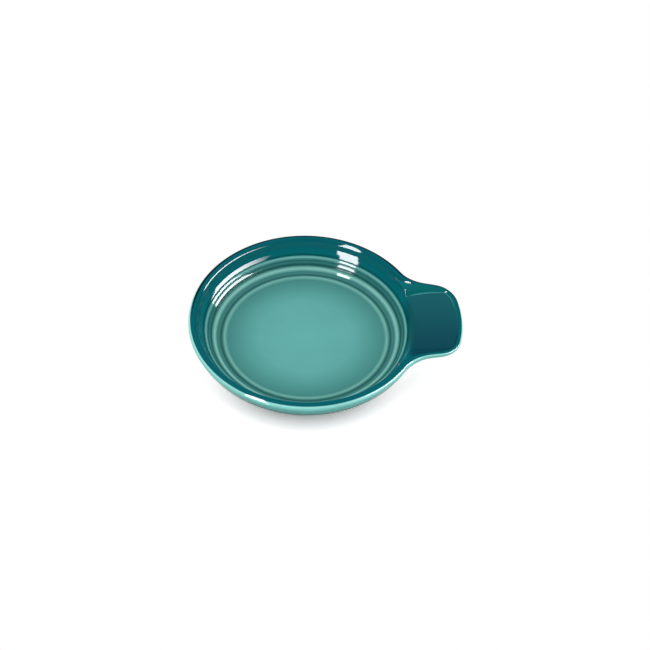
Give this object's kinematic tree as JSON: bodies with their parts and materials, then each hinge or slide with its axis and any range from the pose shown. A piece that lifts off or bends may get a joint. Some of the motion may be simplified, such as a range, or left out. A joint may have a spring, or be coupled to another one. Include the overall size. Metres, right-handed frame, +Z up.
{
  "type": "spoon rest",
  "caption": "Round shallow stoneware dish with stepped rings in its well and a short flat tab at one side that carries the handle of a resting spoon; teal gloss glaze",
  "frame": {"origin": "on the table, under the middle of the overall length and width", "axes": "+Z up out of the well, +X from the dish towards the tab's tip, +Y across"},
  "size_m": [0.1492, 0.128, 0.0215],
  "materials": {
    "fired_stoneware": "matt bisque",
    "pale_teal_glaze": "gloss",
    "deep_teal_glaze": "gloss",
    "turquoise_glaze": "gloss"
  },
  "bodies": {
    "root": {"stoneware_body": "fired_stoneware", "well_glaze": "pale_teal_glaze", "rim_glaze": "deep_teal_glaze", "outer_glaze": "turquoise_glaze", "base_glaze": "turquoise_glaze"}
  },
  "joints": []
}
